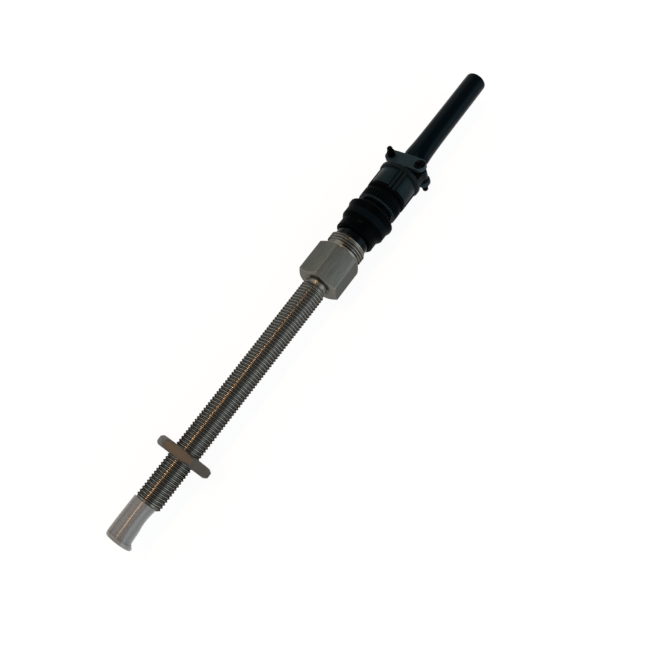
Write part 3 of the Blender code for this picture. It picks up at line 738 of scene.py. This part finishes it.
# The clamp body's front, short of the pads, is painted near-black: painted shade in the groove.
clamp.data.materials.append(groove_shade_and_insert_black)
for face in clamp.data.polygons:
    face.material_index = 1 if face.center.x < pad_start else 0
for number in range(pad_count):
    pad = turned(
        f"clamp_pad_{number + 1}",
        [
            (pad_start, pad_floor),
            (pad_start, pad_radius),
            (pad_end, pad_radius),
            (pad_end, pad_floor),
            (pad_start, pad_floor),
        ],
        steps=pad_steps,
        angle=math.tau / pad_count - 2 * rib_half,
    )
    only(pad)
    bpy.ops.object.mode_set(mode="EDIT")
    bpy.ops.mesh.select_all(action="SELECT")
    bpy.ops.transform.rotate(
        value=rib_half - rib_turn + number * math.tau / pad_count,
        orient_axis="X",
        center_override=(0, 0, axis_height),
    )
    bpy.ops.object.mode_set(mode="OBJECT")
    break_edges(pad, width=0.00015)
    fitted(pad, "plug", "clamp_grey", moulded_black)

# Two flat bars of the same black moulding grip the bushing from either side. Each has a round ear at both
# ends for the screws.
# The bars' black is lighter than the clamp body's: a painted reflection of the light on their flat faces.
bar_black_lit = finish(
    "bar_black_lit", (0.0125, 0.0240, 0.0310), (0.0095, 0.0185, 0.0240),
    roughness=0.42, metallic=0.0, grain=1200, bump=0.10, specular=0.08, tint=(0.50, 0.86, 1.0),
)
# The bars get a painted highlight along their edges.
edge_lit(bar_black_lit, reach=0.0004, tone=(0.024, 0.042, 0.052))
for side in ("front", "rear"):
    bar = welded_copy(f"{side}_clamp_bar", f"{side}_bar_moulded")
    break_edges(bar, width=0.0003)
    fitted(bar, f"{side}_bar", "clamp_grey", bar_black_lit, f"{side}_clamp_bar")

# Two blackened steel screws draw the bars together from opposite sides. Each has a low round head with a
# cross recess, sunk in its bar's ear, and a thread that runs through a round insert in the other bar's ear.
clamp_turn = math.radians(-19.5)
screw_offset = 0.00815
head_top = 0.0065
head_height = 0.0013
head_radius = 0.00285
shank_radius = 0.00122
screw_crest = 0.00142
screw_pitch = 0.0005
screw_tip = -0.01175
screw_lead = 0.0002
screw_steps = 20
recess_length = 0.0038
recess_width = 0.0007
recess_depth = 0.0008
screw_steel = finish(
    "blackened_screw", (0.0006, 0.0008, 0.0010), (0.0004, 0.0005, 0.0007),
    roughness=0.28, metallic=0.0, grain=1400, bump=0.05, specular=0.02,
)
screw_low, screw_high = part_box("front_clamp_screw")
screw_middle = (screw_low[0] + screw_high[0]) / 2
insert_radius = 0.00185
insert_ends = (-0.0092, -0.0060)
for side, facing, far_side in (("front", 1, "rear"), ("rear", -1, "front")):
    bpy.ops.object.select_all(action="DESELECT")
    bpy.ops.mesh.primitive_cylinder_add(
        vertices=48,
        radius=head_radius,
        depth=head_height,
        location=(head_top - head_height / 2, 0, 0),
        rotation=(0, math.pi / 2, 0),
    )
    screw = bpy.context.object
    screw.name = f"{side}_screw_turned"
    bpy.ops.object.transform_apply(location=True, rotation=True, scale=True)
    break_edges(screw, width=0.0003)
    for slot_turn in (0, math.pi / 2):
        bpy.ops.object.select_all(action="DESELECT")
        bpy.ops.mesh.primitive_cube_add(
            size=1,
            location=(head_top, 0, 0),
            rotation=(slot_turn, 0, 0),
            scale=(2 * recess_depth, recess_length, recess_width),
        )
        cut_away(screw, bpy.context.object)
    bpy.ops.object.select_all(action="DESELECT")
    bpy.ops.mesh.primitive_cylinder_add(
        vertices=24,
        radius=shank_radius,
        depth=head_top - head_height - screw_tip,
        location=((head_top - head_height + screw_tip) / 2, 0, 0),
        rotation=(0, math.pi / 2, 0),
    )
    shank = bpy.context.object
    bpy.ops.object.transform_apply(location=True, rotation=True, scale=True)
    break_edges(shank, width=0.0003)
    helix = threaded(f"{side}_screw_thread", screw_tip + screw_lead, 0.0, screw_pitch,
                     screw_crest, shank_radius, screw_steps)
    only(screw)
    shank.select_set(True)
    helix.select_set(True)
    bpy.ops.object.join()
    outward = facing * Vector((0, -math.sin(clamp_turn), math.cos(clamp_turn)))
    sideways = facing * Vector((0, -math.cos(clamp_turn), -math.sin(clamp_turn)))
    stand = Matrix((outward, along, outward.cross(along))).transposed().to_4x4()
    place = Vector((screw_middle, 0, axis_height)) + screw_offset * sideways
    stood_at(screw, Matrix.Translation(place) @ stand)
    fitted(screw, f"{side}_screw", "steel", screw_steel, f"{side}_clamp_screw")
    bpy.ops.object.select_all(action="DESELECT")
    bpy.ops.mesh.primitive_cylinder_add(
        vertices=32,
        radius=insert_radius,
        depth=insert_ends[1] - insert_ends[0],
        location=(sum(insert_ends) / 2, 0, 0),
        rotation=(0, math.pi / 2, 0),
    )
    insert = bpy.context.object
    insert.name = f"{side}_screw_insert"
    bpy.ops.object.transform_apply(location=True, rotation=True, scale=True)
    break_edges(insert, width=0.0002)
    stood_at(insert, Matrix.Translation(place) @ stand)
    # The insert takes the near-black that paints shade into the clamp's front groove.
    fitted(insert, f"{far_side}_bar", "steel", groove_shade_and_insert_black)

# The bushing is a thick rubber tube, squeezed oval between the bars, with a swell just behind them. It is cut
# square at its end.
soft_edge_degrees = 50
smooth_levels = 2
soft_rubber = finish(
    "black_rubber", (0.0002, 0.0008, 0.0014), (0.0001, 0.0005, 0.0010),
    roughness=0.32, metallic=0.0, grain=700, bump=0.05, specular=0.065, tint=(0.30, 0.76, 1.0),
)


def softened(piece, edge):
    """Rounds the hard edges of a soft piece and smooths its facets."""
    break_edges(piece, edge, angle=soft_edge_degrees)
    smooth = piece.modifiers.new("smooth", "SUBSURF")
    smooth.levels = smooth_levels
    smooth.render_levels = smooth_levels
    only(piece)
    bpy.ops.object.modifier_apply(modifier=smooth.name)
    bpy.ops.object.shade_smooth()


bushing = welded_copy("rubber_bushing", "bushing_rubber")
softened(bushing, edge=0.0003)
fitted(bushing, "plug", "rubber", soft_rubber, "rubber_bushing")

# The tip cap is a thin cup of milky plastic, pushed onto the tip to keep it from knocks and pressed in on one
# side. Light goes a little way into its wall.
cap_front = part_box("protective_cap")[0][0]
cap_swell = 1.045
cap_held = 0.012
cap_stays = cap_front + cap_held
press_turn = math.radians(-105)
press_depth = 0.0011
lip_start = 0.0012
lip_end = 0.0025
press_end = 0.0092
light_depth = (0.0010, 0.0008, 0.0007)
light_share = 0.35
# The cap's closed end is painted with a light line and a darker band behind it: a painted highlight and
# painted shade at its rim.
end_length = 0.005
end_highlight_tone = (1.0, 0.98, 0.95)
wall_tone = (0.78, 0.79, 0.80)
end_levels = ((0.22, 1.0), (0.30, 0.52), (0.42, 0.70))


def eased(value, low, high):
    """Rises smoothly from 0 at low to 1 at high."""
    part = min(1.0, max(0.0, (value - low) / (high - low)))
    return part * part * (3 - 2 * part)


milky_plastic = finish(
    "milky_plastic", (0.192, 0.188, 0.184), (0.180, 0.176, 0.172),
    roughness=0.20, metallic=0.0, grain=260, bump=0.001,
)
milky_nodes, milky_links = milky_plastic.node_tree.nodes, milky_plastic.node_tree.links
milky_shader = milky_nodes["Principled BSDF"]
milky_shader.inputs["Subsurface Weight"].default_value = light_share
milky_shader.inputs["Subsurface Radius"].default_value = light_depth
milky_place = milky_nodes.new("ShaderNodeTexCoord")
milky_parts = milky_nodes.new("ShaderNodeSeparateXYZ")
from_end = milky_nodes.new("ShaderNodeMapRange")
from_end.inputs["From Min"].default_value = cap_front
from_end.inputs["From Max"].default_value = cap_front + end_length
# Painted highlight and shade along the first few millimetres from the closed end.
painted_end_band = milky_nodes.new("ShaderNodeValToRGB")
painted_end_band.color_ramp.elements[0].color = (*end_highlight_tone, 1)
painted_end_band.color_ramp.elements[1].color = (*wall_tone, 1)
for position, level in end_levels:
    painted_end_band.color_ramp.elements.new(position).color = (level, level, level, 1)
milky_tone = milky_nodes.new("ShaderNodeMix")
milky_tone.data_type = "RGBA"
milky_tone.blend_type = "MULTIPLY"
milky_tone.inputs["Factor"].default_value = 1
milky_links.new(milky_place.outputs["Object"], milky_parts.inputs["Vector"])
milky_links.new(milky_parts.outputs["X"], from_end.inputs["Value"])
milky_links.new(from_end.outputs["Result"], painted_end_band.inputs["Fac"])
milky_links.new(milky_nodes["tones"].outputs["Color"], milky_tone.inputs["A"])
milky_links.new(painted_end_band.outputs["Color"], milky_tone.inputs["B"])
milky_links.new(milky_tone.outputs["Result"], milky_shader.inputs["Base Color"])
cap = welded_copy("protective_cap", "tip_cap_soft")
softened(cap, edge=0.0002)
stood_at(cap, Matrix.Translation((cap_stays, 0, axis_height))
         @ Matrix.Diagonal((cap_swell, cap_swell, cap_swell, 1))
         @ Matrix.Translation((-cap_stays, 0, -axis_height)))
cap_end = min(vertex.co.x for vertex in cap.data.vertices)
pressed_side = Vector((0, math.sin(press_turn), math.cos(press_turn)))
for vertex in cap.data.vertices:
    inward = vertex.co.x - cap_end
    facing = (vertex.co - Vector((vertex.co.x, 0, axis_height))).normalized().dot(pressed_side)
    depth = press_depth * eased(inward, lip_start, lip_end) * (1 - eased(inward, lip_end, press_end))
    vertex.co -= depth * max(0.0, facing) * pressed_side
fitted(cap, "tip_cap", "cap_plastic", milky_plastic, "protective_cap")
